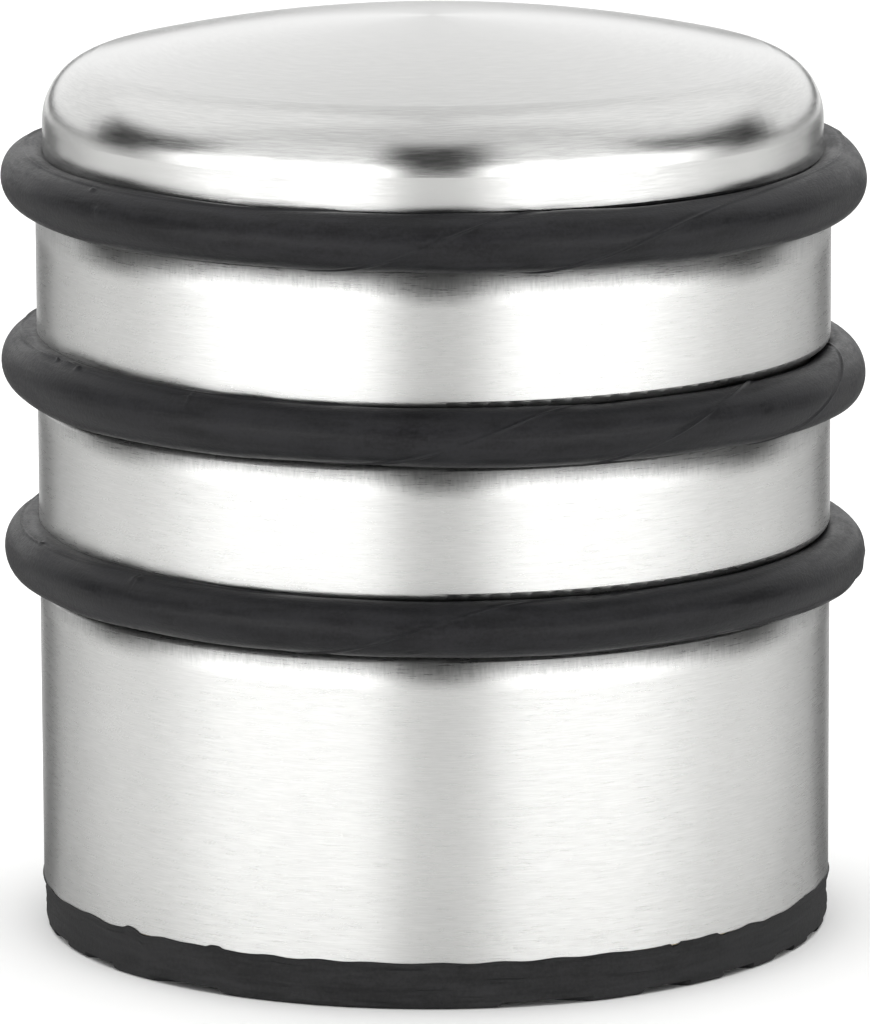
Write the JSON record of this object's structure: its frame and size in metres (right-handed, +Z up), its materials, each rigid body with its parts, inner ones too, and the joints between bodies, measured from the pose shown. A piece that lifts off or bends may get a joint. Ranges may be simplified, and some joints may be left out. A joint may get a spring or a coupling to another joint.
{
  "type": "door stop",
  "caption": "Free-standing weighted door stop: a brushed stainless can with stretched rubber buffer rings, an iron weight inside and a ribbed rubber sole.",
  "frame": {"origin": "middle of the sole's underside, on the can's axis", "axes": "+Z up along the can's axis; X and Y are level, and the sole's ribs run 11.5 degrees clockwise from X seen from above"},
  "size_m": [0.0816, 0.0816, 0.0866],
  "materials": {
    "brushed_stainless": "brushed round the axis, satin",
    "ring_rubber": "matte extruded cord with a slightly twisted parting line",
    "sole_rubber": "matte moulded, slightly ragged edges",
    "cast_iron": "as cast, unpainted",
    "zinc_plated_steel": "bright zinc plate",
    "contact_glue": "dried contact glue"
  },
  "bodies": {
    "root": {"top_cap": "brushed_stainless", "body_tube": "brushed_stainless", "upper_ring": "ring_rubber", "middle_ring": "ring_rubber", "lower_ring": "ring_rubber", "rubber_sole": "sole_rubber", "weight_core": "cast_iron", "base_cup": "zinc_plated_steel", "base_screw": "zinc_plated_steel", "cap_stud": "zinc_plated_steel", "stud_washer": "zinc_plated_steel", "stud_locknut": "zinc_plated_steel", "sole_glue": "contact_glue"}
  },
  "joints": []
}
